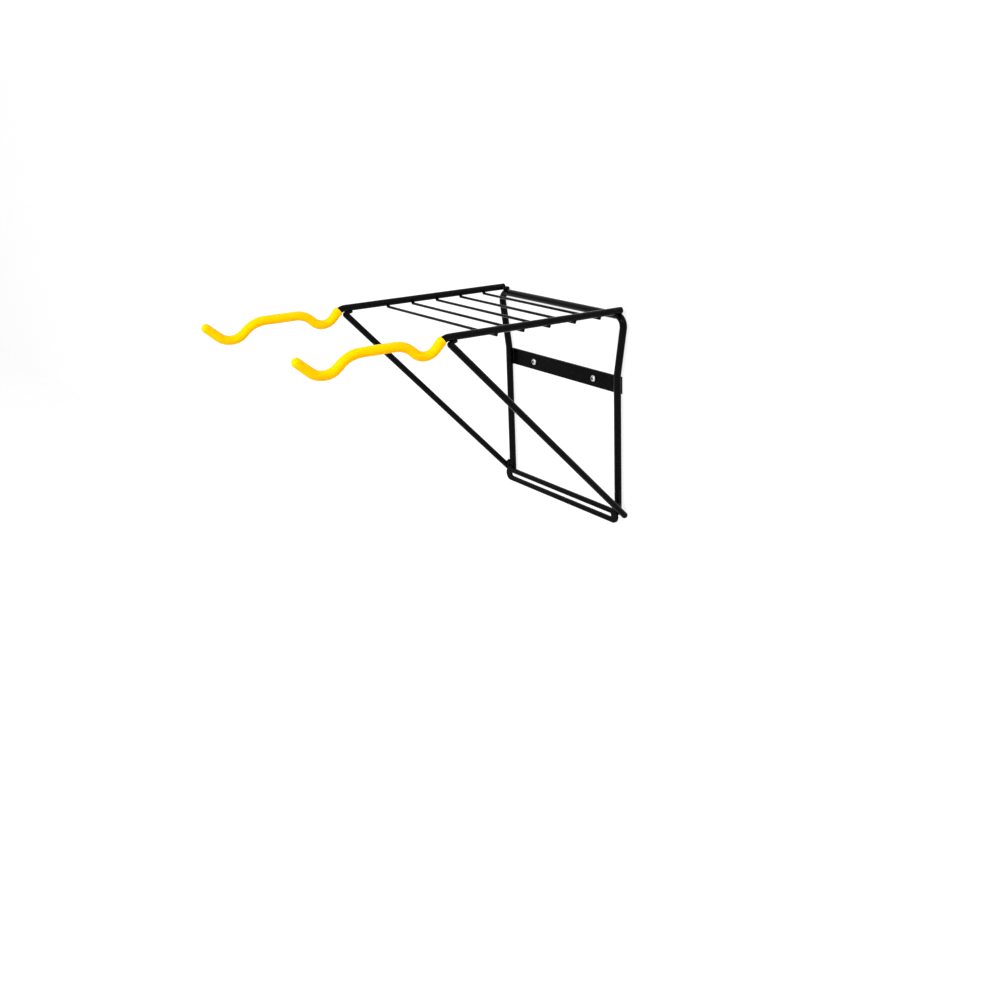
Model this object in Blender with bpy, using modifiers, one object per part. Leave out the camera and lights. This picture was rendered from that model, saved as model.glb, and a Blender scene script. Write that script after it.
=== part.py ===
# Wall-mounted rack that holds one bicycle by its frame, with a wire shelf between its arms.
# Units are metres. +X runs along the wall, +Y points into the wall and +Z is up.
# The origin is on the wall, at the middle of the upper wall plate's back face.

import math

import bmesh
import bpy
from mathutils import Matrix, Vector

# Gap between pieces that touch, which paint or weld metal fills on the real rack
SEAT_GAP = 0.0003

# Hoop: one rod bent to an inverted U that stands on the wall
HOOP_ROD_DIAMETER = 0.0098
HOOP_TOP_HEIGHT = 0.0974
HOOP_KINK_HEIGHT = 0.0150
HOOP_SPLAY_ANGLE = math.radians(11.5)
HOOP_CORNER_RADIUS = 0.0140
HOOP_KINK_RADIUS = 0.0300
HOOP_FOOT_HEIGHT = -0.1840

# Arms: two rods that stand out from the wall, each with two dips for a bicycle's tube
ARM_SPACING = 0.2846
ARM_ROD_DIAMETER = 0.0095
ARM_WALL_END = 0.0075
ARM_END_ROUNDING = 0.0015
STRAIGHT_ARM_REACH = 0.2834

# Arms' bent ends: how far out each run takes the rod, and how far each corner lies below the straight arm
INNER_DIP_ENTRY_RUN = 0.0266
INNER_DIP_EXIT_RUN = 0.0270
CREST_RUN = 0.0766
OUTER_DIP_ENTRY_RUN = 0.0313
OUTER_DIP_EXIT_RUN = 0.0348
INNER_DIP_DROP = 0.0281
OUTER_DIP_DROP = 0.0318
CREST_DROP = 0.0018
TIP_DROP = 0.0021

# Arms' bends: the share of the shorter run beside it that each bend takes up, which gives its radius
DIP_START_BEND_SHARE = 0.222
INNER_DIP_BEND_SHARE = 0.595
CREST_START_BEND_SHARE = 0.365
CREST_END_BEND_SHARE = 0.412
OUTER_DIP_BEND_SHARE = 0.584

# Vinyl coating: a hollow skin over the bent end of each arm, closed at the tip
COATING_WALL = 0.0012
COATING_MOUTH_PAST_STRAIGHT = 0.0021
COATING_LIP_ROUNDING = 0.0008

# Braces: straight rods from the arms' undersides down to the hoop's feet
BRACE_ROD_DIAMETER = 0.0080
BRACE_TOP_BEFORE_BEND = 0.0087
BRACE_FOOT_HEIGHT = -0.1845

# Upper wall plate: a flat bar behind the hoop's legs, screwed to the wall
PLATE_THICKNESS = 0.0030
PLATE_HEIGHT = 0.0238
PLATE_PAST_LEG = 0.0006
PLATE_EDGE_ROUNDING = 0.0005
PLATE_SCREW_SPACING = 0.1460

# Lower bar: a slotted flat bar with round ends, across the front of the hoop's feet
BAR_THICKNESS = 0.0030
BAR_HEIGHT = 0.0204
BAR_CENTRE_HEIGHT = -0.1858
BAR_PAST_LEG = 0.0073
BAR_EDGE_ROUNDING = 0.0005
SLOT_WIDTH = 0.0058
SLOT_END_MARGIN = 0.0132

# Shelf wires: thin rods across the undersides of the arms
WIRE_DIAMETER = 0.0030
WIRE_COUNT = 5
WIRE_FIRST_REACH = 0.0445
WIRE_PITCH = 0.0406
WIRE_PAST_ARM = 0.0005
WIRE_END_ROUNDING = 0.0008

# Wall screws: button heads with a hexagon socket, whose shanks end at the wall's face
SCREW_SHANK_DIAMETER = 0.0055
SCREW_HOLE_CLEARANCE = 0.0004
SCREW_HEAD_DIAMETER = 0.0096
SCREW_HEAD_HEIGHT = 0.0030
SCREW_HEAD_FLAT_DIAMETER = 0.0046
SCREW_SOCKET_FLATS = 0.0034
SCREW_SOCKET_DEPTH = 0.0018
SCREW_SOCKET_SIDES = 6

# Weld beads: how far each swells from its middle along X, Y and Z, before what it joins is cut out of it
ARM_BEAD_SIZE = Vector((0.0026, 0.0050, 0.0036))
BRACE_TOP_BEAD_SIZE = Vector((0.0034, 0.0050, 0.0034))
BRACE_FOOT_BEAD_SIZE = Vector((0.0034, 0.0034, 0.0050))
BRACE_FOOT_BEAD_REACH = 0.0108
PLATE_BEAD_SIZE = Vector((0.0030, 0.0030, 0.0100))
BAR_BEAD_SIZE = Vector((0.0044, 0.0026, 0.0024))

# How the meshes are made
CUTTER_OVERSHOOT = 0.0030
MERGE_DISTANCE = 1e-6
CAP_MERGE_DISTANCE = 1e-5
SMOOTH_ANGLE = math.radians(35)
BEVEL_ANGLE = math.radians(40)
BEVEL_STEPS = 2
ARC_STEP = math.radians(11)
ROUND_END_STEPS = 4
ROUND_END_FLAT_SHARE = 0.25
ROD_BEVEL_RESOLUTION = 4
WIRE_BEVEL_RESOLUTION = 2
TURNED_STEPS = 24
DOME_STEPS = 5
BEAD_SEGMENTS = 14
BEAD_RINGS = 10

# Sizes that follow from those above
INNER_DIP_REACH = STRAIGHT_ARM_REACH + INNER_DIP_ENTRY_RUN
CREST_START_REACH = INNER_DIP_REACH + INNER_DIP_EXIT_RUN
CREST_END_REACH = CREST_START_REACH + CREST_RUN
OUTER_DIP_REACH = CREST_END_REACH + OUTER_DIP_ENTRY_RUN
TIP_REACH = OUTER_DIP_REACH + OUTER_DIP_EXIT_RUN
COATING_MOUTH_REACH = STRAIGHT_ARM_REACH + COATING_MOUTH_PAST_STRAIGHT
BRACE_TOP_REACH = STRAIGHT_ARM_REACH - BRACE_TOP_BEFORE_BEND
HOOP_RADIUS = HOOP_ROD_DIAMETER / 2
ARM_RADIUS = ARM_ROD_DIAMETER / 2
BRACE_RADIUS = BRACE_ROD_DIAMETER / 2
WIRE_RADIUS = WIRE_DIAMETER / 2
COATING_BORE_RADIUS = ARM_RADIUS + SEAT_GAP
COATING_RADIUS = COATING_BORE_RADIUS + COATING_WALL
ARM_X = ARM_SPACING / 2
LEG_X = ARM_X - BRACE_RADIUS - SEAT_GAP - HOOP_RADIUS
HOOP_Y = -(PLATE_THICKNESS + SEAT_GAP + HOOP_RADIUS)
BAR_BACK_Y = HOOP_Y - HOOP_RADIUS - SEAT_GAP
HOOP_CORNER_X = LEG_X + (HOOP_TOP_HEIGHT - HOOP_KINK_HEIGHT) * math.tan(HOOP_SPLAY_ANGLE)


def arm_height():
    """Height of an arm's centre line where the arm rests on the hoop's bent shoulder."""
    reach = HOOP_RADIUS + SEAT_GAP + ARM_RADIUS
    half_turn = (math.pi / 2 + HOOP_SPLAY_ANGLE) / 2
    bend_x = HOOP_CORNER_X - HOOP_CORNER_RADIUS * math.tan(half_turn)
    bend_z = HOOP_TOP_HEIGHT - HOOP_CORNER_RADIUS
    offset = max(ARM_X - bend_x, 0.0)
    return bend_z + math.sqrt((HOOP_CORNER_RADIUS + reach) ** 2 - offset ** 2)


ARM_HEIGHT = arm_height()
WIRE_HEIGHT = ARM_HEIGHT - ARM_RADIUS - SEAT_GAP - WIRE_RADIUS
BRACE_TOP = Vector((0, -BRACE_TOP_REACH, ARM_HEIGHT - ARM_RADIUS - SEAT_GAP - BRACE_RADIUS))
BRACE_FOOT = Vector((0, -(BRACE_RADIUS + SEAT_GAP), BRACE_FOOT_HEIGHT))


def clear_scene():
    """Removes the objects that the file opened with."""
    for item in list(bpy.data.objects):
        bpy.data.objects.remove(item, do_unlink=True)


def new_collection(name):
    """Makes a collection in the scene."""
    collection = bpy.data.collections.new(name)
    bpy.context.scene.collection.children.link(collection)
    return collection


def new_material(name, color, roughness, metallic):
    """Makes a material with a Principled BSDF."""
    material = bpy.data.materials.new(name)
    material.use_nodes = True
    shader = material.node_tree.nodes["Principled BSDF"]
    shader.inputs["Base Color"].default_value = (*color, 1)
    shader.inputs["Roughness"].default_value = roughness
    shader.inputs["Metallic"].default_value = metallic
    return material


def black_powder_coat():
    """Glossy black powder coat on rods and welds."""
    return new_material("black_powder_coat", (0.012, 0.012, 0.013), 0.32, 0)


def black_bar_paint():
    """Slightly rough black coat on the flat bars."""
    return new_material("black_bar_paint", (0.016, 0.015, 0.015), 0.45, 0)


def yellow_vinyl():
    """Soft yellow dip coating."""
    return new_material("yellow_vinyl", (1.0, 0.55, 0.0), 0.38, 0)


def zinc_plate():
    """Bright zinc on the screws."""
    return new_material("zinc_plate", (0.75, 0.76, 0.77), 0.3, 1)


def add_object(name, data, location, material, collection):
    """Links a named object with its own material."""
    item = bpy.data.objects.new(name, data)
    item.location = location
    collection.objects.link(item)
    if material and not data.materials:
        data.materials.append(material)
    return item


def bent_line(corners, radii):
    """Centre line of a bent rod: straight runs between corners, each rounded by its radius."""
    points = [corners[0]]
    for before, corner, after, radius in zip(corners, corners[1:], corners[2:], radii):
        inward = (before - corner).normalized()
        outward = (after - corner).normalized()
        turn = math.pi - inward.angle(outward)
        tangent = radius * math.tan(turn / 2)
        first = corner + inward * tangent
        last = corner + outward * tangent
        middle = corner + (inward + outward).normalized() * radius / math.cos(turn / 2)
        steps = max(2, math.ceil(turn / ARC_STEP))
        for step in range(steps + 1):
            share = step / steps
            spoke = (first - middle) * math.sin((1 - share) * turn) + (last - middle) * math.sin(share * turn)
            points.append(middle + spoke / math.sin(turn))
    points.append(corners[-1])
    return points


def round_end(point, direction, radius, rounding):
    """Points and radii that round off a rod's end beyond a point."""
    quarter = math.pi / 2 / (ROUND_END_STEPS + ROUND_END_FLAT_SHARE)
    steps = [quarter * (step + 1) for step in range(ROUND_END_STEPS)]
    return [
        (point + direction * rounding * math.sin(angle), radius - rounding * (1 - math.cos(angle)))
        for angle in steps
    ]


def rod_curve(name, points, radius, start_rounding, end_rounding, bevel_resolution=ROD_BEVEL_RESOLUTION):
    """Curve of a rod along points. A rounding of 0 leaves a sawn end."""
    beads = [(point, radius) for point in points]
    if start_rounding:
        outward = (points[0] - points[1]).normalized()
        beads = round_end(points[0], outward, radius, start_rounding)[::-1] + beads
    if end_rounding:
        outward = (points[-1] - points[-2]).normalized()
        beads = beads + round_end(points[-1], outward, radius, end_rounding)
    curve = bpy.data.curves.new(name, "CURVE")
    curve.dimensions = "3D"
    curve.bevel_depth = radius
    curve.bevel_resolution = bevel_resolution
    curve.use_fill_caps = True
    spline = curve.splines.new("POLY")
    spline.points.add(len(beads) - 1)
    for spline_point, (position, size) in zip(spline.points, beads):
        spline_point.co = (*position, 1)
        spline_point.radius = size / radius
    spline.use_smooth = True
    return curve


def hoop_points():
    """Centre line of the hoop, from its left foot over the top to its right foot."""
    foot = Vector((LEG_X, 0, HOOP_FOOT_HEIGHT))
    kink = Vector((LEG_X, 0, HOOP_KINK_HEIGHT))
    corner = Vector((HOOP_CORNER_X, 0, HOOP_TOP_HEIGHT))
    mirror = Matrix.Scale(-1, 3, (1, 0, 0))
    corners = [mirror @ foot, mirror @ kink, mirror @ corner, corner, kink, foot]
    return bent_line(corners, [HOOP_KINK_RADIUS, HOOP_CORNER_RADIUS, HOOP_CORNER_RADIUS, HOOP_KINK_RADIUS])


def arm_corners():
    """Corners of an arm's centre line, from the wall out to the tip, relative to its straight run."""
    return [
        Vector((0, -(ARM_WALL_END + ARM_END_ROUNDING), 0)),
        Vector((0, -STRAIGHT_ARM_REACH, 0)),
        Vector((0, -INNER_DIP_REACH, -INNER_DIP_DROP)),
        Vector((0, -CREST_START_REACH, -CREST_DROP)),
        Vector((0, -CREST_END_REACH, -CREST_DROP)),
        Vector((0, -OUTER_DIP_REACH, -OUTER_DIP_DROP)),
        Vector((0, -TIP_REACH, -TIP_DROP)),
    ]


def arm_bend_radii(corners):
    """Radius of each of an arm's bends, so that it takes up its share of the shorter run beside it."""
    shares = [
        DIP_START_BEND_SHARE,
        INNER_DIP_BEND_SHARE,
        CREST_START_BEND_SHARE,
        CREST_END_BEND_SHARE,
        OUTER_DIP_BEND_SHARE,
    ]
    radii = []
    for before, corner, after, share in zip(corners, corners[1:], corners[2:], shares):
        turn = (corner - before).angle(after - corner)
        shorter_run = min((corner - before).length, (after - corner).length)
        radii.append(share * shorter_run / math.tan(turn / 2))
    return radii


def arm_points():
    """Centre line of an arm."""
    corners = arm_corners()
    return bent_line(corners, arm_bend_radii(corners))


def points_past(points, reach):
    """The part of an outward line that lies beyond a distance from the wall."""
    for index, (near, far) in enumerate(zip(points, points[1:])):
        if -far.y > reach:
            share = (reach + near.y) / (near.y - far.y)
            return [near.lerp(far, share)] + points[index + 1:]
    return points


def mesh_from_curve(name, curve):
    """Closed mesh of a curve, with its caps welded on."""
    item = bpy.data.objects.new(name, curve)
    bpy.context.scene.collection.objects.link(item)
    bpy.context.view_layer.update()
    evaluated = item.evaluated_get(bpy.context.evaluated_depsgraph_get())
    mesh = bpy.data.meshes.new_from_object(evaluated)
    bpy.data.objects.remove(item, do_unlink=True)
    bpy.data.curves.remove(curve)
    mesh.name = name
    form = bmesh.new()
    form.from_mesh(mesh)
    bmesh.ops.remove_doubles(form, verts=form.verts, dist=MERGE_DISTANCE)
    bmesh.ops.recalc_face_normals(form, faces=form.faces)
    form.to_mesh(mesh)
    form.free()
    return mesh


def add_cutter(name, mesh, location, collection):
    """Adds a mesh that only cuts others."""
    item = add_object(name, mesh, location, None, collection)
    item.hide_render = True
    item.display_type = "WIRE"
    return item


def cut(item, cutter):
    """Cuts one object out of another."""
    modifier = item.modifiers.new("cut_" + cutter.name, "BOOLEAN")
    modifier.operation = "DIFFERENCE"
    modifier.solver = "EXACT"
    modifier.object = cutter


def bevel_edges(item, width):
    """Rounds the sharp edges of a flat piece."""
    modifier = item.modifiers.new("edge_rounding", "BEVEL")
    modifier.width = width
    modifier.segments = BEVEL_STEPS
    modifier.limit_method = "ANGLE"
    modifier.angle_limit = BEVEL_ANGLE


def smooth_round_faces(mesh):
    """Shades round faces smooth and keeps steep edges sharp."""
    mesh.shade_smooth()
    mesh.set_sharp_from_angle(angle=SMOOTH_ANGLE)


def add_hoop(parts, material):
    """The inverted U of rod that everything else is welded to."""
    curve = rod_curve("hoop_frame", hoop_points(), HOOP_RADIUS, 0, 0)
    return add_object("hoop_frame", curve, (0, HOOP_Y, 0), material, parts)


def add_arms(parts, material):
    """The left and right arm rods, bare inside the coating."""
    curve = rod_curve("arm_rod", arm_points(), ARM_RADIUS, ARM_END_ROUNDING, ARM_RADIUS)
    for side, place in (("left", -ARM_X), ("right", ARM_X)):
        add_object(side + "_arm", curve, (place, 0, ARM_HEIGHT), material, parts)


def coating_mesh(cutters):
    """Hollow coating: a fat rod with the arm's own rod, grown by the gap, cut out of it."""
    skin_points = points_past(arm_points(), COATING_MOUTH_REACH)
    bore_points = points_past(arm_points(), COATING_MOUTH_REACH - COATING_RADIUS)
    skin_curve = rod_curve("arm_coating", skin_points, COATING_RADIUS, COATING_LIP_ROUNDING, COATING_RADIUS)
    bore_curve = rod_curve("coating_bore", bore_points, COATING_BORE_RADIUS, 0, COATING_BORE_RADIUS)
    skin = bpy.data.objects.new("coating_blank", mesh_from_curve("coating_blank", skin_curve))
    bore = add_cutter("coating_bore", mesh_from_curve("coating_bore", bore_curve), (0, 0, 0), cutters)
    cutters.objects.link(skin)
    cut(skin, bore)
    return applied_mesh("arm_coating", skin)


def applied_mesh(name, item):
    """Mesh of an object with its modifiers applied. The object is removed."""
    bpy.context.view_layer.update()
    evaluated = item.evaluated_get(bpy.context.evaluated_depsgraph_get())
    mesh = bpy.data.meshes.new_from_object(evaluated)
    mesh.name = name
    bpy.data.objects.remove(item, do_unlink=True)
    smooth_round_faces(mesh)
    return mesh


def add_coatings(parts, cutters, material):
    """The yellow vinyl skins over the arms' bent ends."""
    mesh = coating_mesh(cutters)
    for side, place in (("left", -ARM_X), ("right", ARM_X)):
        add_object(side + "_arm_coating", mesh, (place, 0, ARM_HEIGHT), material, parts)


def add_braces(parts, material):
    """The two sloping rods under the arms."""
    curve = rod_curve("brace_rod", [BRACE_FOOT, BRACE_TOP], BRACE_RADIUS, BRACE_RADIUS, BRACE_RADIUS)
    for side, place in (("left", -ARM_X), ("right", ARM_X)):
        add_object(side + "_brace", curve, (place, 0, 0), material, parts)


def add_shelf_wires(parts, material):
    """The thin wires across the arms that carry a helmet or gloves."""
    half_length = ARM_X + WIRE_PAST_ARM
    ends = [Vector((-half_length, 0, 0)), Vector((half_length, 0, 0))]
    rounding = WIRE_END_ROUNDING
    curve = rod_curve("shelf_wire", ends, WIRE_RADIUS, rounding, rounding, WIRE_BEVEL_RESOLUTION)
    for index in range(WIRE_COUNT):
        reach = WIRE_FIRST_REACH + index * WIRE_PITCH
        add_object("shelf_wire_%d" % (index + 1), curve, (0, -reach, WIRE_HEIGHT), material, parts)


def cylinder_mesh(name, radius, depth):
    """Cylinder along Y, centred on its origin."""
    mesh = bpy.data.meshes.new(name)
    form = bmesh.new()
    turn = Matrix.Rotation(math.pi / 2, 4, "X")
    bmesh.ops.create_cone(
        form, cap_ends=True, segments=TURNED_STEPS, radius1=radius, radius2=radius, depth=depth, matrix=turn
    )
    form.to_mesh(mesh)
    form.free()
    return mesh


def add_upper_plate(parts, cutters, material):
    """The flat bar behind the legs, with one hole for each wall screw."""
    mesh = bpy.data.meshes.new("upper_wall_plate")
    form = bmesh.new()
    bmesh.ops.create_cube(form, size=1)
    size = (2 * (LEG_X + PLATE_PAST_LEG), PLATE_THICKNESS, PLATE_HEIGHT)
    bmesh.ops.scale(form, vec=size, verts=form.verts)
    form.to_mesh(mesh)
    form.free()
    plate = add_object("upper_wall_plate", mesh, (0, -PLATE_THICKNESS / 2, 0), material, parts)
    bevel_edges(plate, PLATE_EDGE_ROUNDING)
    hole_radius = SCREW_SHANK_DIAMETER / 2 + SCREW_HOLE_CLEARANCE
    hole = cylinder_mesh("plate_hole", hole_radius, PLATE_THICKNESS + 2 * CUTTER_OVERSHOOT)
    for side in (-1, 1):
        place = (side * PLATE_SCREW_SPACING / 2, -PLATE_THICKNESS / 2, 0)
        cut(plate, add_cutter("plate_hole_cutter", hole, place, cutters))


def obround_spline(curve, half_length, half_width):
    """Closed outline with straight sides and half-round ends."""
    straight = half_length - half_width
    steps = TURNED_STEPS // 2
    outline = []
    for end in (1, -1):
        for step in range(steps + 1):
            angle = end * math.pi / 2 - math.pi * step / steps
            outline.append((end * straight + half_width * math.cos(angle), half_width * math.sin(angle)))
    spline = curve.splines.new("POLY")
    spline.points.add(len(outline) - 1)
    for spline_point, (across, up) in zip(spline.points, outline):
        spline_point.co = (across, up, 0, 1)
    spline.use_cyclic_u = True


def add_lower_bar(parts, material):
    """The slotted flat bar across the feet."""
    half_length = LEG_X + BAR_PAST_LEG
    curve = bpy.data.curves.new("lower_slotted_bar", "CURVE")
    curve.dimensions = "2D"
    curve.fill_mode = "BOTH"
    curve.extrude = BAR_THICKNESS / 2
    obround_spline(curve, half_length, BAR_HEIGHT / 2)
    obround_spline(curve, half_length - SLOT_END_MARGIN, SLOT_WIDTH / 2)
    place = (0, BAR_BACK_Y - BAR_THICKNESS / 2, BAR_CENTRE_HEIGHT)
    bar = add_object("lower_slotted_bar", curve, place, material, parts)
    bar.rotation_euler = (math.pi / 2, 0, 0)
    weld = bar.modifiers.new("join_caps", "WELD")
    weld.merge_threshold = CAP_MERGE_DISTANCE
    bevel_edges(bar, BAR_EDGE_ROUNDING)


def screw_mesh(cutters):
    """Button-head screw, turned about Z and cut by its hexagon socket."""
    head = SCREW_HEAD_DIAMETER / 2
    flat = SCREW_HEAD_FLAT_DIAMETER / 2
    shank = SCREW_SHANK_DIAMETER / 2
    wall_end = -(PLATE_THICKNESS + SEAT_GAP)
    outline = [(0, SCREW_HEAD_HEIGHT)]
    for step in range(DOME_STEPS + 1):
        angle = math.pi / 2 * step / DOME_STEPS
        outline.append((flat + (head - flat) * math.sin(angle), SCREW_HEAD_HEIGHT * math.cos(angle)))
    outline += [(shank, 0), (shank, wall_end), (0, wall_end)]
    mesh = bpy.data.meshes.new("wall_screw")
    form = bmesh.new()
    verts = [form.verts.new((across, 0, up)) for across, up in outline]
    for near, far in zip(verts, verts[1:]):
        form.edges.new((near, far))
    form.to_mesh(mesh)
    form.free()
    blank = bpy.data.objects.new("screw_blank", mesh)
    cutters.objects.link(blank)
    turned = blank.modifiers.new("turn", "SCREW")
    turned.axis = "Z"
    turned.steps = TURNED_STEPS
    turned.render_steps = TURNED_STEPS
    turned.use_merge_vertices = True
    turned.merge_threshold = MERGE_DISTANCE
    turned.use_smooth_shade = True
    cut(blank, add_cutter("screw_socket", socket_mesh(), (0, 0, SCREW_HEAD_HEIGHT), cutters))
    return applied_mesh("wall_screw", blank)


def socket_mesh():
    """Hexagonal cutter, centred on the head's face, that leaves a socket of the right depth."""
    mesh = bpy.data.meshes.new("screw_socket")
    form = bmesh.new()
    corner = SCREW_SOCKET_FLATS / 2 / math.cos(math.pi / SCREW_SOCKET_SIDES)
    depth = 2 * SCREW_SOCKET_DEPTH
    bmesh.ops.create_cone(
        form, cap_ends=True, segments=SCREW_SOCKET_SIDES, radius1=corner, radius2=corner, depth=depth
    )
    form.to_mesh(mesh)
    form.free()
    return mesh


def add_wall_screws(parts, cutters, material):
    """The two screws that hold the upper plate to the wall."""
    mesh = screw_mesh(cutters)
    for side, place in (("left", -PLATE_SCREW_SPACING / 2), ("right", PLATE_SCREW_SPACING / 2)):
        location = (place, -(PLATE_THICKNESS + SEAT_GAP), 0)
        screw = add_object(side + "_wall_screw", mesh, location, material, parts)
        screw.rotation_euler = (math.pi / 2, 0, 0)


def grown_rod(name, points, radius, offset, cutters):
    """Cutter with a rod's shape, grown by the seat gap."""
    placed = [point + offset for point in points]
    curve = rod_curve(name, placed, radius + SEAT_GAP, radius + SEAT_GAP, radius + SEAT_GAP)
    return add_cutter(name, mesh_from_curve(name, curve), (0, 0, 0), cutters)


def grown_box(name, centre, size, cutters):
    """Cutter with a flat bar's shape, grown by the seat gap."""
    mesh = bpy.data.meshes.new(name)
    form = bmesh.new()
    bmesh.ops.create_cube(form, size=1)
    bmesh.ops.scale(form, vec=size + Vector((1, 1, 1)) * 2 * SEAT_GAP, verts=form.verts)
    form.to_mesh(mesh)
    form.free()
    return add_cutter(name, mesh, centre, cutters)


def keep_largest_body(mesh):
    """Deletes the chips that a cut leaves beside the main body."""
    form = bmesh.new()
    form.from_mesh(mesh)
    unseen = set(form.verts)
    bodies = []
    while unseen:
        body = set()
        edge = [unseen.pop()]
        while edge:
            vert = edge.pop()
            body.add(vert)
            neighbours = {link.other_vert(vert) for link in vert.link_edges}
            edge += neighbours & unseen
            unseen -= neighbours
        bodies.append(body)
    largest = max(bodies, key=lambda body: (len(body), max(vert.co.z for vert in body)))
    chips = [vert for body in bodies if body is not largest for vert in body]
    bmesh.ops.delete(form, geom=chips, context="VERTS")
    form.to_mesh(mesh)
    form.free()


def add_bead(name, centre, size, lean, cutting, parts, cutters, material):
    """Weld bead: an ellipsoid leaning about X, with the pieces that it joins cut out of it."""
    mesh = bpy.data.meshes.new(name)
    form = bmesh.new()
    bmesh.ops.create_uvsphere(form, u_segments=BEAD_SEGMENTS, v_segments=BEAD_RINGS, radius=1)
    bmesh.ops.scale(form, vec=size, verts=form.verts)
    bmesh.ops.rotate(form, cent=(0, 0, 0), matrix=Matrix.Rotation(lean, 3, "X"), verts=form.verts)
    form.to_mesh(mesh)
    form.free()
    blank = bpy.data.objects.new(name + "_blank", mesh)
    blank.location = centre
    cutters.objects.link(blank)
    for cutter in cutting:
        cut(blank, cutter)
    bead = applied_mesh(name, blank)
    keep_largest_body(bead)
    return add_object(name, bead, centre, material, parts)


def brace_foot_bead_place(side_sign):
    """Place and lean of the bead in the acute corner where a brace laps its leg."""
    brace = BRACE_TOP - BRACE_FOOT
    lean = math.atan2(-brace.y, brace.z)
    crossing = BRACE_FOOT + brace * (HOOP_Y - BRACE_FOOT.y) / brace.y
    crossing.x = side_sign * (LEG_X + HOOP_RADIUS + SEAT_GAP / 2)
    corner = Vector((0, -math.sin(lean / 2), math.cos(lean / 2)))
    return crossing + corner * BRACE_FOOT_BEAD_REACH, lean / 2


def add_welds(parts, cutters, material):
    """The weld beads that join arms, braces, plate and bar, the same on both sides."""
    hoop = grown_rod("hoop_cutter", hoop_points(), HOOP_RADIUS, Vector((0, HOOP_Y, 0)), cutters)
    plate_size = Vector((2 * (LEG_X + PLATE_PAST_LEG), PLATE_THICKNESS, PLATE_HEIGHT))
    plate = grown_box("plate_cutter", (0, -PLATE_THICKNESS / 2, 0), plate_size, cutters)
    bar_size = Vector((2 * (LEG_X + BAR_PAST_LEG), BAR_THICKNESS, BAR_HEIGHT))
    bar_place = (0, BAR_BACK_Y - BAR_THICKNESS / 2, BAR_CENTRE_HEIGHT)
    bar = grown_box("bar_cutter", bar_place, bar_size, cutters)
    for side, sign in (("left", -1), ("right", 1)):
        arm_x = sign * ARM_X
        leg_x = sign * LEG_X
        arm_place = Vector((arm_x, 0, ARM_HEIGHT))
        arm = grown_rod(side + "_arm_cutter", arm_points(), ARM_RADIUS, arm_place, cutters)
        brace_line = [BRACE_FOOT, BRACE_TOP]
        brace = grown_rod(side + "_brace_cutter", brace_line, BRACE_RADIUS, Vector((arm_x, 0, 0)), cutters)
        foot_place, foot_lean = brace_foot_bead_place(sign)
        groove_x = arm_x - sign * (ARM_RADIUS + ARM_BEAD_SIZE.x / 2)
        inner_groove = Vector((groove_x, HOOP_Y, HOOP_TOP_HEIGHT + HOOP_RADIUS))
        under_arm = BRACE_TOP + Vector((arm_x, BRACE_TOP_BEAD_SIZE.y, BRACE_RADIUS))
        leg_groove = Vector((leg_x - sign * HOOP_RADIUS, -PLATE_THICKNESS, 0))
        bar_edge = Vector((leg_x, BAR_BACK_Y, BAR_CENTRE_HEIGHT + BAR_HEIGHT / 2))
        beads = (
            ("_arm_weld", inner_groove, ARM_BEAD_SIZE, 0, [arm, hoop]),
            ("_brace_top_weld", under_arm, BRACE_TOP_BEAD_SIZE, 0, [arm, brace]),
            ("_brace_foot_weld", foot_place, BRACE_FOOT_BEAD_SIZE, foot_lean, [brace, hoop]),
            ("_plate_weld", leg_groove, PLATE_BEAD_SIZE, 0, [plate, hoop]),
            ("_bar_weld", bar_edge, BAR_BEAD_SIZE, 0, [bar, hoop, brace]),
        )
        for name, place, size, lean, joined in beads:
            add_bead(side + name, place, size, lean, joined, parts, cutters, material)


def build():
    """Builds the whole rack."""
    clear_scene()
    parts = new_collection("wall_mounted_bike_rack")
    cutters = new_collection("cutters")
    powder = black_powder_coat()
    paint = black_bar_paint()
    add_hoop(parts, powder)
    add_arms(parts, powder)
    add_braces(parts, powder)
    add_shelf_wires(parts, powder)
    add_upper_plate(parts, cutters, paint)
    add_lower_bar(parts, paint)
    add_coatings(parts, cutters, yellow_vinyl())
    add_wall_screws(parts, cutters, zinc_plate())
    add_welds(parts, cutters, powder)


build()
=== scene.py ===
# Finished look of a wall-mounted bike rack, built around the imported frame.
# Units are metres. +X runs along the wall, +Y points into the wall and +Z is up.

import math

import bmesh
import bpy
from mathutils import Matrix, Vector


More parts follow.
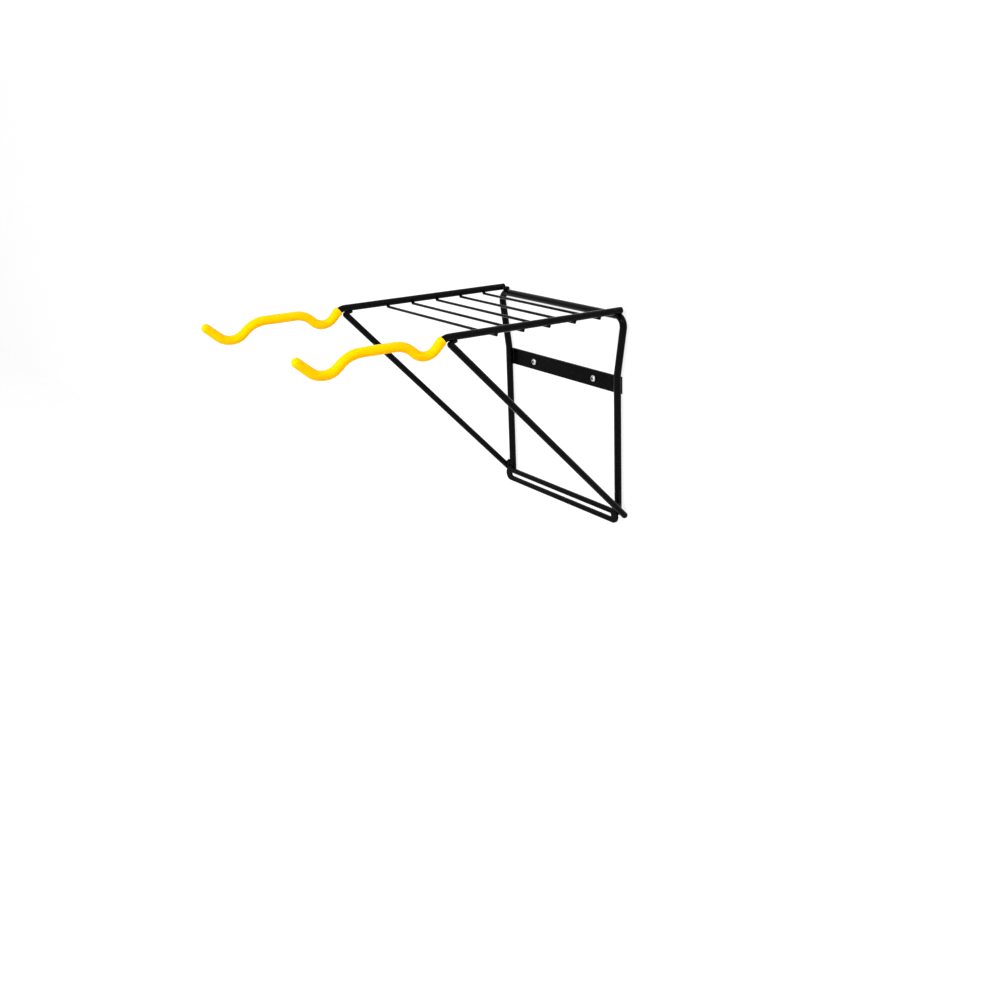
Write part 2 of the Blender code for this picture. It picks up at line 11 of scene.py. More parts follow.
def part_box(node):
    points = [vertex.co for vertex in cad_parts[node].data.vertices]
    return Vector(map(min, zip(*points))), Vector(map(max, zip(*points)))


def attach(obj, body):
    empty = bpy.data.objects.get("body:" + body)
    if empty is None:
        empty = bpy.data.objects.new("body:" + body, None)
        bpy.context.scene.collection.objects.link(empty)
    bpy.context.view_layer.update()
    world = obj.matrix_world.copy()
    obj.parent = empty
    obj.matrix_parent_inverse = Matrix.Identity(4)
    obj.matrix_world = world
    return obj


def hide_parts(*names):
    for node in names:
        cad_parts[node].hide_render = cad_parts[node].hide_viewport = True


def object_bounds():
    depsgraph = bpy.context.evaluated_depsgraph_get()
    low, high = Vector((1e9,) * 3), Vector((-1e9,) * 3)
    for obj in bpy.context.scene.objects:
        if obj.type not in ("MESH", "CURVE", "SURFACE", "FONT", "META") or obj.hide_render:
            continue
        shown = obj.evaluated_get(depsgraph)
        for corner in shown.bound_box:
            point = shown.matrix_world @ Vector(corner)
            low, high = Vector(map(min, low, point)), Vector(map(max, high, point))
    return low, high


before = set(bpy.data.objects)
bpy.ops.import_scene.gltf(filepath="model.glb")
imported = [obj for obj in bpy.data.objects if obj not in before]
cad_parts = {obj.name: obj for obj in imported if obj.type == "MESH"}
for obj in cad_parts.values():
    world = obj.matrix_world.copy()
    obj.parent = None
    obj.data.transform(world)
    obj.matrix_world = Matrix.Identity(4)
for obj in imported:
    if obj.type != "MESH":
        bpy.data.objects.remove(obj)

CAD_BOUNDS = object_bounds()
BODY = "root"

# Directions
X_AXIS = Vector((1, 0, 0))
Y_AXIS = Vector((0, 1, 0))

# Gap between pieces that touch
SEAT_GAP = 0.0003

# Hoop's bends
HOOP_KINK_HEIGHT = 0.0150
HOOP_SPLAY_ANGLE = math.radians(11.5)
HOOP_CORNER_RADIUS = 0.0140
HOOP_KINK_RADIUS = 0.0300
HOOP_CUT_ROUNDING = 0.0004

# Rods that look a little thicker than their solids: the radii that they are drawn with
HOOP_DRAWN_RADIUS = 0.0051
BRACE_DRAWN_RADIUS = 0.0045
WIRE_DRAWN_RADIUS = 0.0019

# Arms: the wall end's rounding, each run's reach outwards, and each corner's drop below the straight run
ARM_END_ROUNDING = 0.0015
STRAIGHT_ARM_REACH = 0.2834
INNER_DIP_ENTRY_RUN = 0.0266
INNER_DIP_EXIT_RUN = 0.0270
CREST_RUN = 0.0766
OUTER_DIP_ENTRY_RUN = 0.0313
OUTER_DIP_EXIT_RUN = 0.0348
INNER_DIP_DROP = 0.0281
OUTER_DIP_DROP = 0.0318
CREST_DROP = 0.0018
TIP_DROP = 0.0021

# Arms' bends: the share of the shorter run beside it that each bend takes up, from the wall outwards
ARM_BEND_SHARES = (0.222, 0.595, 0.365, 0.412, 0.584)

# Vinyl coating: its mouth past the straight run, rounded lip, roll of extra thickness and faint waves
COATING_MOUTH_PAST_STRAIGHT = 0.0021
COATING_LIP_ROUNDING = 0.0008
COATING_ROLL_HEIGHT = 0.0004
COATING_ROLL_LENGTH = 0.0035
COATING_WAVE_HEIGHT = 0.00010
COATING_WAVE_LENGTH = 0.031

# Flat bars
BAR_EDGE_ROUNDING = 0.0006
SLOT_WIDTH = 0.0058
SLOT_END_MARGIN = 0.0132
SCREW_HOLE_RADIUS = 0.00315

# Shelf wires, and how far the small beads at their ends swell along X, Y and Z
WIRE_END_ROUNDING = 0.0008
WIRE_BEAD_SIZE = Vector((0.0021, 0.0029, 0.0012))

# Wall screws
SCREW_HEAD_HEIGHT = 0.0030
SCREW_HEAD_FLAT_RADIUS = 0.0023
SCREW_SHANK_RADIUS = 0.00275
SCREW_RIM_ROUNDING = 0.0004
SCREW_SOCKET_FLATS = 0.0040
SCREW_SOCKET_DEPTH = 0.0018

# Weld beads: their size as a multiple of the solids' beads, and their ripples
WELD_SWELL = 1.22
WELD_RIPPLES = 5
WELD_RIPPLE_DEPTH = 0.07

# Welds on each side, each with the axis that its ripples follow: 0 for X, 1 for Y and 2 for Z
WELD_AXES = (("arm", 1), ("brace_top", 1), ("brace_foot", 2), ("plate", 2), ("bar", 0))

# Fineness of the meshes
ARC_STEP = math.radians(4)
ROUND_END_STEPS = 10
ROD_SIDES = 40
WIRE_SIDES = 20
TURNED_SIDES = 48
BEAD_SEGMENTS = 36
BEAD_RINGS = 24
COATING_STEP = COATING_ROLL_LENGTH / 3
EDGE_ROUNDING_STEPS = 3

# Share of a step by which a round end stops before its pole, so that its last ring keeps a width
POLE_MARGIN = 0.15

# Points closer than this become one, and faces that meet at less than this angle become one
MERGE_DISTANCE = 1e-6
LEVEL_ANGLE = math.radians(1)

# Edges that turn by more than this look sharp, and a flat bar's edges that do are rounded
SHARP_ANGLE = math.radians(38)
ROUNDED_EDGE_ANGLE = math.radians(50)

# Range in which most values of a noise lie
NOISE_LOW = 0.3
NOISE_HIGH = 0.7

# Colours, as linear values
BLACK_DEEP = (0.0008, 0.0008, 0.0009, 1)
BLACK_PALE = (0.0015, 0.0015, 0.0016, 1)
BAR_BLACK_DEEP = (0.0010, 0.0008, 0.0008, 1)
BAR_BLACK_PALE = (0.0026, 0.0019, 0.0018, 1)
VINYL_WARM = (1.0, 0.500, 0.0, 1)
VINYL_LIGHT = (1.0, 0.525, 0.0, 1)
ZINC = (0.56, 0.57, 0.58, 1)
# Painted shade: the dark metal on the walls of the screws' sockets
SOCKET_PAINTED_SHADE = (0.02, 0.02, 0.022, 1)
STAGE_PALE = (0.70, 0.70, 0.69, 1)
SEEN_PALE = (0.26, 0.26, 0.26, 1)
WHITE = (1, 1, 1, 1)

# Camera of the photograph, for a square picture
CAMERA_PLACE = Vector((1.48427, -1.06487, 0.40703))
CAMERA_RIGHT = Vector((0.54643, 0.83687, -0.03460))
CAMERA_UP = Vector((-0.24487, 0.19916, 0.94894))
CAMERA_LENS = 46.18
CAMERA_FAR = 100
SENSOR_WIDTH = 36.0

# Stage: its size and place, and its glow where it is seen
FLOOR_DROP = 0.35
STAGE_HALF_SIZE = 9.0
WALL_GAP = 0.0004
STAGE_GLOW = 0.83

# Light: the room's strength, then each lamp's place, side and watts, and what the lamps aim at
ROOM_LIGHT = 0.48
KEY_LAMP = ((0.8, -2.8, 1.5), 0.35, 94)
FILL_LAMP = ((2.2, -1.0, 1.6), 0.35, 12)
LAMP_TARGET = Vector((0, -0.25, 0))


def box_middle(node):
    """Middle of a node's box."""
    low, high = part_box(node)
    return (low + high) / 2


def box_half(node):
    """Half the size of a node's box."""
    low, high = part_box(node)
    return (high - low) / 2


# Sizes read from the frame
ARM_X = box_middle("right_arm").x
ARM_RADIUS = box_half("right_arm").x
ARM_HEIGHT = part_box("right_arm")[1].z - ARM_RADIUS
ARM_WALL_END = -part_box("right_arm")[1].y
COATING_MOUTH_REACH = STRAIGHT_ARM_REACH + COATING_MOUTH_PAST_STRAIGHT
COATING_RADIUS = box_half("right_arm_coating").x
HOOP_RADIUS = box_half("hoop_frame").y
HOOP_Y = box_middle("hoop_frame").y
HOOP_TOP_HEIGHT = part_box("hoop_frame")[1].z - HOOP_RADIUS
HOOP_FOOT_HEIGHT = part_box("hoop_frame")[0].z
BRACE_RADIUS = box_half("right_brace").x
LEG_X = ARM_X - BRACE_RADIUS - SEAT_GAP - HOOP_RADIUS


def link(item):
    """Links an object to the scene."""
    bpy.context.scene.collection.objects.link(item)
    return item


def evaluated_mesh(item):
    """A new mesh of an object as its modifiers or its curve settings leave it."""
    bpy.context.view_layer.update()
    evaluated = item.evaluated_get(bpy.context.evaluated_depsgraph_get())
    return bpy.data.meshes.new_from_object(evaluated)


def finish_piece(name, form, material, node):
    """Turns a bmesh into a piece with a finish, which stands for a CAD node."""
    bmesh.ops.recalc_face_normals(form, faces=form.faces)
    mesh = bpy.data.meshes.new(name)
    form.to_mesh(mesh)
    form.free()
    mesh.materials.append(material)
    mesh.shade_smooth()
    mesh.set_sharp_from_angle(angle=SHARP_ANGLE)
    piece = link(bpy.data.objects.new(name, mesh))
    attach(piece, BODY)
    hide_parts(node)
    return piece


# Centre lines and lofts

def bent_line(corners, radii):
    """Stations (point, direction) along straight runs whose corners are rounded by radii."""
    stations = [(corners[0], (corners[1] - corners[0]).normalized())]
    for before, corner, after, radius in zip(corners, corners[1:], corners[2:], radii):
        arriving = (corner - before).normalized()
        leaving = (after - corner).normalized()
        turn = arriving.angle(leaving)
        tangent = radius * math.tan(turn / 2)
        axis = arriving.cross(leaving).normalized()
        start = corner - arriving * tangent
        middle = start + axis.cross(arriving) * radius
        steps = math.ceil(turn / ARC_STEP)
        for step in range(steps + 1):
            spin = Matrix.Rotation(turn * step / steps, 3, axis)
            stations.append((middle + spin @ (start - middle), spin @ arriving))
    stations.append((corners[-1], (corners[-1] - corners[-2]).normalized()))
    return stations


def end_rings(station, radius, rounding, sign):
    """Rings (point, direction, radius) that round off an end. sign is 1 after the line and -1 before it."""
    point, along = station
    rings = []
    for step in range(1, ROUND_END_STEPS + 1):
        angle = math.pi / 2 * step / (ROUND_END_STEPS + POLE_MARGIN)
        shrink = rounding * (1 - math.cos(angle))
        rings.append((point + along * sign * rounding * math.sin(angle), along, radius - shrink))
    return rings


def rod_rings(stations, radius, start_rounding, end_rounding):
    """Rings of a rod with rounded ends."""
    body = [(point, along, radius) for point, along in stations]
    before = end_rings(stations[0], radius, start_rounding, -1)[::-1]
    return before + body + end_rings(stations[-1], radius, end_rounding, 1)


def loft(rings, side, sides):
    """Closed round form through rings whose directions are square to side."""
    form = bmesh.new()
    loops = []
    for point, along, radius in rings:
        across = along.cross(side)
        loop = []
        for step in range(sides):
            angle = 2 * math.pi * step / sides
            outward = side * math.cos(angle) + across * math.sin(angle)
            loop.append(form.verts.new(point + outward * radius))
        loops.append(loop)
    for near, far in zip(loops, loops[1:]):
        for step in range(sides):
            following = (step + 1) % sides
            form.faces.new((near[step], near[following], far[following], far[step]))
    form.faces.new(loops[0][::-1])
    form.faces.new(loops[-1])
    return form


# Materials

class Paint:
    """A Principled material whose colour, roughness and bumps follow noise in object coordinates."""

    def __init__(self, name):
        self.material = bpy.data.materials.new(name)
        self.material.use_nodes = True
        self.nodes = self.material.node_tree.nodes
        self.links = self.material.node_tree.links
        self.shader = self.nodes["Principled BSDF"]
        self.place = self.nodes.new("ShaderNodeTexCoord").outputs["Object"]

    def set(self, **values):
        """Sets the shader's own sockets. Underscores in a name stand for spaces."""
        for name, value in values.items():
            self.shader.inputs[name.replace("_", " ")].default_value = value

    def noise(self, scale, detail):
        """Noise from 0 to 1 whose grains are about 1 / scale metres wide."""
        node = self.nodes.new("ShaderNodeTexNoise")
        node.inputs["Scale"].default_value = scale
        node.inputs["Detail"].default_value = detail
        self.links.new(self.place, node.inputs["Vector"])
        return node.outputs["Fac"]

    def noise_between(self, low, high, scale, detail):
        """Noise whose values lie between low and high."""
        node = self.nodes.new("ShaderNodeMapRange")
        node.inputs["From Min"].default_value = NOISE_LOW
        node.inputs["From Max"].default_value = NOISE_HIGH
        node.inputs["To Min"].default_value = low
        node.inputs["To Max"].default_value = high
        self.links.new(self.noise(scale, detail), node.inputs["Value"])
        return node.outputs["Result"]

    def color(self, first, second, scale, detail=2):
        """Base colour that wanders between first and second."""
        node = self.nodes.new("ShaderNodeMix")
        node.data_type = "RGBA"
        node.inputs["A"].default_value = first
        node.inputs["B"].default_value = second
        self.links.new(self.noise_between(0, 1, scale, detail), node.inputs["Factor"])
        self.links.new(node.outputs["Result"], self.shader.inputs["Base Color"])

    def roughness(self, low, high, scale, detail=3):
        """Roughness that wanders between low and high."""
        self.links.new(self.noise_between(low, high, scale, detail), self.shader.inputs["Roughness"])

    def bump(self, *layers):
        """Bumps one over another, each given as (height in metres, scale, detail)."""
        normal = None
        for height, scale, detail in layers:
            node = self.nodes.new("ShaderNodeBump")
            node.inputs["Distance"].default_value = height
            self.links.new(self.noise(scale, detail), node.inputs["Height"])
            if normal:
                self.links.new(normal, node.inputs["Normal"])
            normal = node.outputs["Normal"]
        self.links.new(normal, self.shader.inputs["Normal"])


def powder_coat():
    """Glossy black powder coat with a fine orange peel."""
    paint = Paint("black_powder_coat")
    paint.set(Specular_IOR_Level=0.055)
    paint.color(BLACK_DEEP, BLACK_PALE, scale=90)
    paint.roughness(0.07, 0.12, scale=240)
    paint.bump((0.000012, 420, 1.5), (0.000002, 1900, 1))
    return paint.material


def bar_paint():
    """Slightly paler, grainier black on the flat bars."""
    paint = Paint("black_bar_paint")
    paint.set(Specular_IOR_Level=0.02)
    paint.color(BAR_BLACK_DEEP, BAR_BLACK_PALE, scale=150, detail=3)
    paint.roughness(0.26, 0.38, scale=420)
    paint.bump((0.00004, 900, 2), (0.000012, 3200, 1))
    return paint.material


def weld_paint():
    """Powder coat over a weld, a little duller than on the rods."""
    paint = Paint("black_weld_coat")
    paint.set(Specular_IOR_Level=0.06)
    paint.color(BLACK_DEEP, BLACK_PALE, scale=300)
    paint.roughness(0.15, 0.26, scale=600)
    paint.bump((0.00006, 900, 3))
    return paint.material


def vinyl():
    """Soft yellow dip coating: smooth, slightly uneven and a little translucent."""
    paint = Paint("yellow_vinyl")
    paint.set(Subsurface_Weight=0.10, Subsurface_Radius=(0.0012, 0.0005, 0.0001), Subsurface_Scale=0.5)
    paint.set(Specular_IOR_Level=0.02)
    paint.color(VINYL_WARM, VINYL_LIGHT, scale=45, detail=3)
    paint.roughness(0.30, 0.40, scale=180)
    paint.bump((0.00008, 55, 1), (0.000006, 1500, 2))
    return paint.material


def zinc():
    """Bright zinc plating with a fine grain."""
    paint = Paint("bright_zinc")
    paint.set(Base_Color=ZINC, Metallic=1.0)
    paint.roughness(0.20, 0.36, scale=1600, detail=4)
    paint.bump((0.00002, 2600, 2))
    return paint.material


def painted_shade_socket():
    """Painted shade: dark metal inside the screws' sockets, standing for the shade that falls in them."""
    paint = Paint("painted_shade_socket")
    paint.set(Base_Color=SOCKET_PAINTED_SHADE, Metallic=1.0)
    paint.roughness(0.45, 0.60, scale=900, detail=2)
    return paint.material


def seen_ray(nodes, links):
    """1 for rays that show the background: straight from the camera, reflected or refracted."""
    path = nodes.new("ShaderNodeLightPath")
    seen = path.outputs["Is Camera Ray"]
    for kind in ("Is Glossy Ray", "Is Transmission Ray"):
        either = nodes.new("ShaderNodeMath")
        either.operation = "MAXIMUM"
        links.new(seen, either.inputs[0])
        links.new(path.outputs[kind], either.inputs[1])
        seen = either.outputs["Value"]
    return seen


def mixed_shader(nodes, links, factor, first, second):
    """One of two shaders, by a factor."""
    mix = nodes.new("ShaderNodeMixShader")
    links.new(factor, mix.inputs["Fac"])
    links.new(first, mix.inputs[1])
    links.new(second, mix.inputs[2])
    return mix.outputs["Shader"]


def pale_stage():
    """Pale matt paint that is near white where it is seen, keeps soft shadows and is clear from behind."""
    material = bpy.data.materials.new("pale_stage")
    material.use_nodes = True
    nodes = material.node_tree.nodes
    links = material.node_tree.links
    nodes.remove(nodes["Principled BSDF"])
    lit = nodes.new("ShaderNodeBsdfDiffuse")
    lit.inputs["Color"].default_value = STAGE_PALE
    seen_lit = nodes.new("ShaderNodeBsdfDiffuse")
    seen_lit.inputs["Color"].default_value = SEEN_PALE
    glow = nodes.new("ShaderNodeEmission")
    glow.inputs["Strength"].default_value = STAGE_GLOW
    seen_both = nodes.new("ShaderNodeAddShader")
    links.new(seen_lit.outputs["BSDF"], seen_both.inputs[0])
    links.new(glow.outputs["Emission"], seen_both.inputs[1])
    clear = nodes.new("ShaderNodeBsdfTransparent")
    sight = nodes.new("ShaderNodeNewGeometry")
    seen = seen_ray(nodes, links)
    front = mixed_shader(nodes, links, seen, lit.outputs["BSDF"], seen_both.outputs["Shader"])
    surface = mixed_shader(nodes, links, sight.outputs["Backfacing"], front, clear.outputs["BSDF"])
    links.new(surface, nodes["Material Output"].inputs["Surface"])
    return material


# Rods

def add_hoop(material):
    """The inverted U of rod, from its left foot over the top to its right foot."""
    splay = (HOOP_TOP_HEIGHT - HOOP_KINK_HEIGHT) * math.tan(HOOP_SPLAY_ANGLE)
    foot = HOOP_FOOT_HEIGHT + HOOP_CUT_ROUNDING
    right = [(LEG_X + splay, HOOP_TOP_HEIGHT), (LEG_X, HOOP_KINK_HEIGHT), (LEG_X, foot)]
    left = [(-across, up) for across, up in right[::-1]]
    corners = [Vector((across, HOOP_Y, up)) for across, up in left + right]
    bends = (HOOP_KINK_RADIUS, HOOP_CORNER_RADIUS, HOOP_CORNER_RADIUS, HOOP_KINK_RADIUS)
    rings = rod_rings(bent_line(corners, bends), HOOP_DRAWN_RADIUS, HOOP_CUT_ROUNDING, HOOP_CUT_ROUNDING)
    form = loft(rings, Y_AXIS, ROD_SIDES)
    finish_piece("fine_hoop", form, material, "hoop_frame")


def arm_line(arm_x):
    """Stations along an arm's centre line, from the wall to the tip."""
    reach = STRAIGHT_ARM_REACH
    outline = [(ARM_WALL_END + ARM_END_ROUNDING, 0), (reach, 0)]
    bent_runs = (
        (INNER_DIP_ENTRY_RUN, INNER_DIP_DROP),
        (INNER_DIP_EXIT_RUN, CREST_DROP),
        (CREST_RUN, CREST_DROP),
        (OUTER_DIP_ENTRY_RUN, OUTER_DIP_DROP),
        (OUTER_DIP_EXIT_RUN, TIP_DROP),
    )
    for run, drop in bent_runs:
        reach += run
        outline.append((reach, drop))
    corners = [Vector((arm_x, -out, ARM_HEIGHT - drop)) for out, drop in outline]
    radii = []
    for before, corner, after, share in zip(corners, corners[1:], corners[2:], ARM_BEND_SHARES):
        turn = (corner - before).angle(after - corner)
        shorter_run = min((corner - before).length, (after - corner).length)
        radii.append(share * shorter_run / math.tan(turn / 2))
    return bent_line(corners, radii)


def coating_line(stations):
    """The part of an arm's line that the coating covers, and how far each station is from its mouth."""
    covered = []
    length = 0.0
    for (near, _), (far, along) in zip(stations, stations[1:]):
        if -far.y <= COATING_MOUTH_REACH:
            continue
        if not covered:
            share = (COATING_MOUTH_REACH + near.y) / (near.y - far.y)
            near = near.lerp(far, share)
            covered.append((near, along, length))
        length += (far - near).length
        covered.append((far, along, length))
    return covered


def coating_radius(length):
    """Outer radius at a distance from the mouth: a rolled lip, then faint waves in the thickness."""
    roll = COATING_ROLL_HEIGHT * math.exp(-((length - COATING_ROLL_LENGTH / 2) / COATING_ROLL_LENGTH) ** 2)
    wave = COATING_WAVE_HEIGHT * math.sin(2 * math.pi * length / COATING_WAVE_LENGTH)
    return COATING_RADIUS + roll + wave


def split_long_runs(stations, step):
    """Adds stations along straight runs, so that no two are further apart than step."""
    fine = [stations[0]]
    for (near, _), (far, along) in zip(stations, stations[1:]):
        count = max(1, math.ceil((far - near).length / step))
        fine += [(near.lerp(far, index / count), along) for index in range(1, count)]
        fine.append((far, along))
    return fine


def lip_rings(mouth, along, bore):
    """Rings that round the coating's mouth over, from its bore to its outside."""
    middle = (bore + coating_radius(0)) / 2
    half = (coating_radius(0) - bore) / 2
    rings = []
    for step in range(1, ROUND_END_STEPS):
        angle = math.pi * step / ROUND_END_STEPS
        lift = -along * COATING_LIP_ROUNDING * math.sin(angle)
        rings.append((mouth + lift, along, middle - half * math.cos(angle)))
    return rings


def add_arm(side, stations, material):
    """An arm's rod, from the wall to its round tip."""
    node = side + "_arm"
    form = loft(rod_rings(stations, ARM_RADIUS, ARM_END_ROUNDING, ARM_RADIUS), X_AXIS, ROD_SIDES)
    finish_piece("fine_" + node, form, material, node)


def add_coating(side, stations, material):
    """The hollow vinyl skin over an arm's bent end, closed at the tip."""
    node = side + "_arm_coating"
    bore = ARM_RADIUS + SEAT_GAP
    covered = coating_line(split_long_runs(stations, COATING_STEP))
    mouth, mouth_along, _ = covered[0]
    tip, tip_along, full_length = covered[-1]
    inner = [(point, along, bore) for point, along, _ in covered]
    outer = [(point, along, coating_radius(length)) for point, along, length in covered]
    outer_end = coating_radius(full_length)
    inner_tip = end_rings((tip, tip_along), bore, bore, 1)
    outer_tip = end_rings((tip, tip_along), outer_end, outer_end, 1)
    rings = inner_tip[::-1] + inner[::-1] + lip_rings(mouth, mouth_along, bore) + outer + outer_tip
    finish_piece("fine_" + node, loft(rings, X_AXIS, ROD_SIDES), material, node)


def add_brace(side, material):
    """A straight sloping rod with round ends, moved outwards so that it stays beside the leg."""
    node = side + "_brace"
    low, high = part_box(node)
    radius = BRACE_DRAWN_RADIUS
    middle_x = box_middle(node).x
    middle_x += math.copysign(radius - BRACE_RADIUS, middle_x)
    foot = Vector((middle_x, high.y - radius, low.z + radius))
    top = Vector((middle_x, low.y + radius, high.z - radius))
    direction = (top - foot).normalized()
    rings = rod_rings([(foot, direction), (top, direction)], radius, radius, radius)
    form = loft(rings, X_AXIS, ROD_SIDES)
    finish_piece("fine_" + node, form, material, node)


def add_bead(form, middle, half, ripple_axis):
    """Adds a rippled ellipsoid to a form."""
    made = bmesh.ops.create_uvsphere(form, u_segments=BEAD_SEGMENTS, v_segments=BEAD_RINGS, radius=1)
    for vert in made["verts"]:
        along = vert.co[ripple_axis]
        ripple = 1 - WELD_RIPPLE_DEPTH * math.sin(math.pi * WELD_RIPPLES * along) ** 2
        grown = Vector((vert.co.x * half.x, vert.co.y * half.y, vert.co.z * half.z)) * ripple
        grown[ripple_axis] = along * half[ripple_axis]
        vert.co = middle + grown


def add_shelf_wire(node, material):
    """A thin straight wire across the arms, with a small weld bead under each arm."""
    middle = box_middle(node)
    half_line = X_AXIS * (box_half(node).x - WIRE_END_ROUNDING)
    line = [(middle - half_line, X_AXIS), (middle + half_line, X_AXIS)]
    rings = rod_rings(line, WIRE_DRAWN_RADIUS, WIRE_END_ROUNDING, WIRE_END_ROUNDING)
    form = loft(rings, Y_AXIS, WIRE_SIDES)
    for sign in (-1, 1):
        under_arm = Vector((sign * ARM_X, middle.y, ARM_HEIGHT - ARM_RADIUS - SEAT_GAP))
        add_bead(form, under_arm, WIRE_BEAD_SIZE, ripple_axis=0)
    finish_piece("fine_" + node, form, material, node)


def add_weld(node, ripple_axis, material):
    """A rippled bead that swells past the solids' bead into the pieces beside it."""
    form = bmesh.new()
    add_bead(form, box_middle(node), box_half(node) * WELD_SWELL, ripple_axis)
    finish_piece("fine_" + node, form, material, node)


# Flat bars

def obround(half_length, half_height):
    """Outline points with straight sides and half-round ends, counterclockwise."""
    points = []
    steps = TURNED_SIDES // 2
    for end in (1, -1):
        middle = end * (half_length - half_height)
        for step in range(steps + 1):
            angle = -end * math.pi / 2 + math.pi * step / steps
            points.append((middle + half_height * math.cos(angle), half_height * math.sin(angle)))
    return points


def circle(middle_x, radius):
    """Outline points of a round hole."""
    angles = [2 * math.pi * step / TURNED_SIDES for step in range(TURNED_SIDES)]
    return [(middle_x + radius * math.cos(angle), radius * math.sin(angle)) for angle in angles]


def upright_slab(outlines, half_thickness, place):
    """A slab with holes, from outlines in its own upright plane, around a place."""
    curve = bpy.data.curves.new("slab_outlines", "CURVE")
    curve.dimensions = "2D"
    curve.fill_mode = "BOTH"
    curve.extrude = half_thickness
    for outline in outlines:
        spline = curve.splines.new("POLY")
        spline.points.add(len(outline) - 1)
        for spline_point, (across, up) in zip(spline.points, outline):
            spline_point.co = (across, up, 0, 1)
        spline.use_cyclic_u = True
    slab = link(bpy.data.objects.new("slab_outlines", curve))
    slab.location = place
    slab.rotation_euler = (math.pi / 2, 0, 0)
    mesh = evaluated_mesh(slab)
    mesh.transform(slab.matrix_world)
    form = bmesh.new()
    form.from_mesh(mesh)
    bmesh.ops.remove_doubles(form, verts=form.verts, dist=MERGE_DISTANCE)
    bmesh.ops.dissolve_limit(form, angle_limit=LEVEL_ANGLE, verts=form.verts, edges=form.edges)
    bpy.data.meshes.remove(mesh)
    bpy.data.objects.remove(slab, do_unlink=True)
    return form


def add_flat_bar(node, outlines, material):
    """A flat bar with holes and rounded edges, from outlines in its own plane."""
    form = upright_slab(outlines, box_half(node).y, box_middle(node))
    piece = finish_piece("fine_" + node, form, material, node)
    bevel = piece.modifiers.new("edge_rounding", "BEVEL")
    bevel.width = BAR_EDGE_ROUNDING
    bevel.segments = EDGE_ROUNDING_STEPS
    bevel.limit_method = "ANGLE"
    bevel.angle_limit = ROUNDED_EDGE_ANGLE
    bevel.harden_normals = True


def add_upper_plate(material):
    """The wall plate with its two screw holes."""
    half = box_half("upper_wall_plate")
    rectangle = [(half.x, half.z), (-half.x, half.z), (-half.x, -half.z), (half.x, -half.z)]
    holes = [circle(box_middle(side + "_wall_screw").x, SCREW_HOLE_RADIUS) for side in ("left", "right")]
    add_flat_bar("upper_wall_plate", [rectangle] + holes, material)


def add_lower_bar(material):
    """The slotted bar with round ends."""
    half = box_half("lower_slotted_bar")
    slot = obround(half.x - SLOT_END_MARGIN, SLOT_WIDTH / 2)
    add_flat_bar("lower_slotted_bar", [obround(half.x, half.z), slot], material)


# Screws

def screw_profile(head_radius, front_y, back_y):
    """Half of a screw's outline as (radius, y), from the middle of its shank's end to its head's."""
    seat_y = front_y + SCREW_HEAD_HEIGHT
    profile = [(0.0, back_y), (SCREW_SHANK_RADIUS, back_y), (SCREW_SHANK_RADIUS, seat_y)]
    profile += [(head_radius - SCREW_RIM_ROUNDING, seat_y), (head_radius, seat_y - SCREW_RIM_ROUNDING)]
    for step in range(1, ROUND_END_STEPS + 1):
        angle = math.pi / 2 * step / ROUND_END_STEPS
        radius = SCREW_HEAD_FLAT_RADIUS + (head_radius - SCREW_HEAD_FLAT_RADIUS) * math.cos(angle)
        rise = SCREW_RIM_ROUNDING + (SCREW_HEAD_HEIGHT - SCREW_RIM_ROUNDING) * math.sin(angle)
        profile.append((radius, seat_y - rise))
    profile.append((0.0, front_y))
    return profile


def add_screw(side, metal, socket_shade):
    """A button-head screw with a hexagon socket."""
    node = side + "_wall_screw"
    low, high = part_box(node)
    place = box_middle(node)
    place.y = 0
    form = bmesh.new()
    profile = screw_profile(box_half(node).x, low.y, high.y)
    verts = [form.verts.new(place + Vector((radius, depth, 0))) for radius, depth in profile]
    edges = [form.edges.new(pair) for pair in zip(verts, verts[1:])]
    turned = verts + edges
    bmesh.ops.spin(
        form, geom=turned, cent=place, axis=Y_AXIS, angle=2 * math.pi, steps=TURNED_SIDES, use_merge=True
    )
    bmesh.ops.remove_doubles(form, verts=form.verts, dist=MERGE_DISTANCE)
    piece = finish_piece("fine_" + node, form, metal, node)
    cut_socket(piece, place, low.y, socket_shade)


def cut_socket(piece, place, front_y, socket_shade):
    """Cuts the hexagon socket with a prism that lies half inside the head, and colours its walls with a
    dark painted shade.
    """
    mesh = bpy.data.meshes.new("socket_cutter")
    form = bmesh.new()
    corner = SCREW_SOCKET_FLATS / math.sqrt(3)
    depth = 2 * SCREW_SOCKET_DEPTH
    turn = Matrix.Translation(place + Y_AXIS * front_y) @ Matrix.Rotation(math.pi / 2, 4, "X")
    bmesh.ops.create_cone(
        form, cap_ends=True, segments=6, radius1=corner, radius2=corner, depth=depth, matrix=turn
    )
    form.to_mesh(mesh)
    form.free()
    mesh.materials.append(socket_shade)
    cutter = link(bpy.data.objects.new("socket_cutter", mesh))
    piece.data.materials.append(socket_shade)
    cut = piece.modifiers.new("socket", "BOOLEAN")
    cut.operation = "DIFFERENCE"
    cut.solver = "EXACT"
    cut.material_mode = "TRANSFER"
    cut.object = cutter
    made = evaluated_mesh(piece)
    piece.modifiers.clear()
    piece.data = made
    made.set_sharp_from_angle(angle=SHARP_ANGLE)
    bpy.data.objects.remove(cutter, do_unlink=True)


# Stage, light and camera

def add_plane(name, matrix, material):
    """A large stage plane that faces its own +Z."""
    mesh = bpy.data.meshes.new(name)
    form = bmesh.new()
    bmesh.ops.create_grid(form, x_segments=1, y_segments=1, size=STAGE_HALF_SIZE)
    form.to_mesh(mesh)
    form.free()
    mesh.materials.append(material)
    plane = link(bpy.data.objects.new(name, mesh))
    plane.matrix_world = matrix


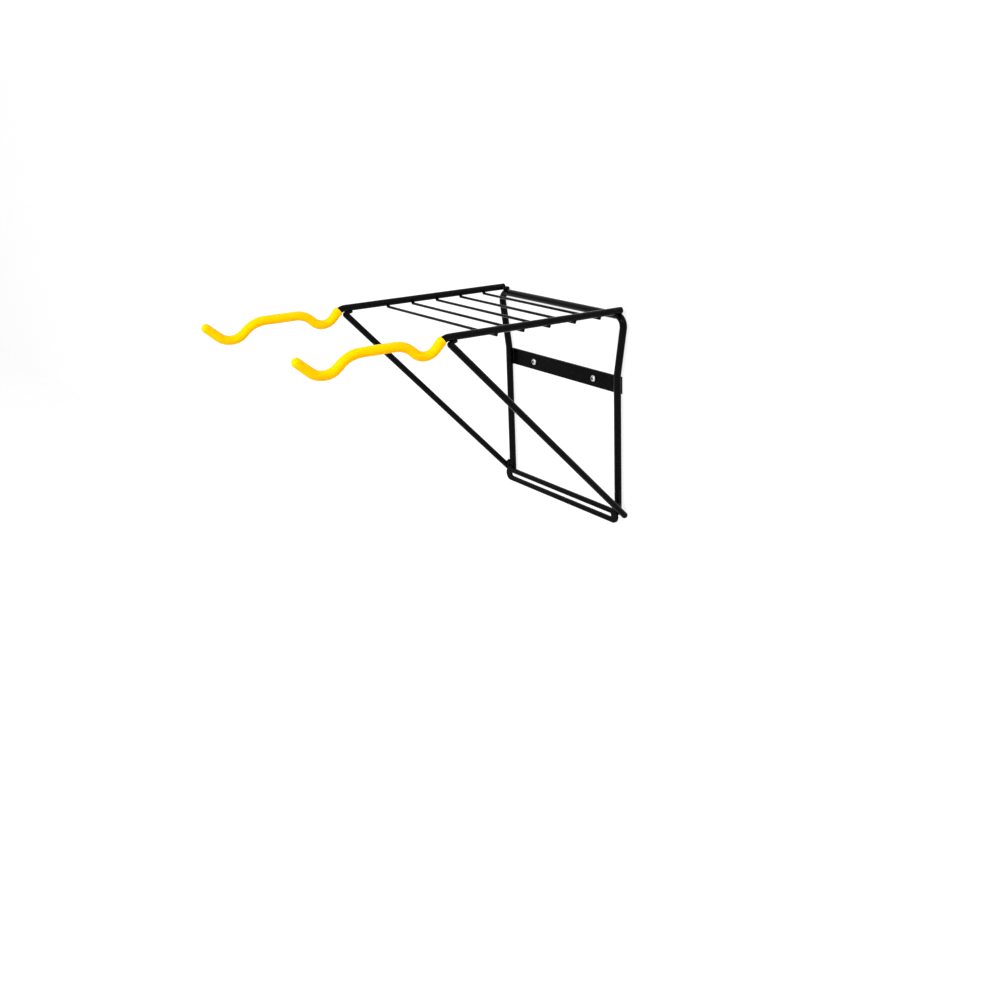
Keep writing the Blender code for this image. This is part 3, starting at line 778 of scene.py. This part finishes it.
def add_stage(material):
    """A pale floor below the rack and a pale wall behind it."""
    floor_height = CAD_BOUNDS[0].z - FLOOR_DROP
    add_plane("floor", Matrix.Translation((0, 0, floor_height)), material)
    upright = Matrix.Rotation(math.pi / 2, 4, "X")
    lifted = Matrix.Translation((0, WALL_GAP, floor_height + STAGE_HALF_SIZE))
    add_plane("wall", lifted @ upright, material)


def add_lamp(name, place, side, watts):
    """A square soft lamp at a place, aimed at the rack."""
    lamp = bpy.data.lights.new(name, "AREA")
    lamp.shape = "SQUARE"
    lamp.size = side
    lamp.energy = watts
    item = link(bpy.data.objects.new(name, lamp))
    item.location = place
    item.rotation_mode = "QUATERNION"
    item.rotation_quaternion = (LAMP_TARGET - item.location).to_track_quat("-Z", "Y")


def add_world():
    """A soft pale room that is white where it is seen."""
    world = bpy.data.worlds.new("pale_room")
    world.use_nodes = True
    nodes = world.node_tree.nodes
    links = world.node_tree.links
    room = nodes["Background"]
    room.inputs["Color"].default_value = WHITE
    room.inputs["Strength"].default_value = ROOM_LIGHT
    white = nodes.new("ShaderNodeBackground")
    white.inputs["Color"].default_value = WHITE
    seen = seen_ray(nodes, links)
    both = mixed_shader(nodes, links, seen, room.outputs["Background"], white.outputs["Background"])
    links.new(both, nodes["World Output"].inputs["Surface"])
    bpy.context.scene.world = world


def add_lights():
    """A key lamp from the room's side, a fill lamp from the camera's side and a soft pale room."""
    add_lamp("key", *KEY_LAMP)
    add_lamp("fill", *FILL_LAMP)
    add_world()


def add_camera():
    """The camera at the photograph's place and angle."""
    lens = bpy.data.cameras.new("photo_camera")
    lens.lens = CAMERA_LENS
    lens.sensor_width = SENSOR_WIDTH
    lens.clip_end = CAMERA_FAR
    camera = link(bpy.data.objects.new("photo_camera", lens))
    right = CAMERA_RIGHT.normalized()
    back = right.cross(CAMERA_UP).normalized()
    up = back.cross(right)
    turn = Matrix((right, up, back)).transposed().to_4x4()
    camera.matrix_world = Matrix.Translation(CAMERA_PLACE) @ turn
    bpy.context.scene.camera = camera


def build():
    """Builds every piece, the stage, the lights and the camera."""
    rod_material = powder_coat()
    weld_material = weld_paint()
    vinyl_material = vinyl()
    bar_material = bar_paint()
    add_hoop(rod_material)
    for side, arm_x in (("left", -ARM_X), ("right", ARM_X)):
        stations = arm_line(arm_x)
        add_arm(side, stations, rod_material)
        add_coating(side, stations, vinyl_material)
        add_brace(side, rod_material)
        for joint, ripple_axis in WELD_AXES:
            add_weld("%s_%s_weld" % (side, joint), ripple_axis, weld_material)
    for node in sorted(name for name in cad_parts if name.startswith("shelf_wire")):
        add_shelf_wire(node, rod_material)
    add_upper_plate(bar_material)
    add_lower_bar(bar_material)
    screw_metal = zinc()
    # Painted shade for the walls of the screws' sockets
    socket_shade_paint = painted_shade_socket()
    for side in ("left", "right"):
        add_screw(side, screw_metal, socket_shade_paint)
    add_stage(pale_stage())
    add_lights()
    add_camera()


build()
bpy.context.scene.view_settings.view_transform = "Standard"
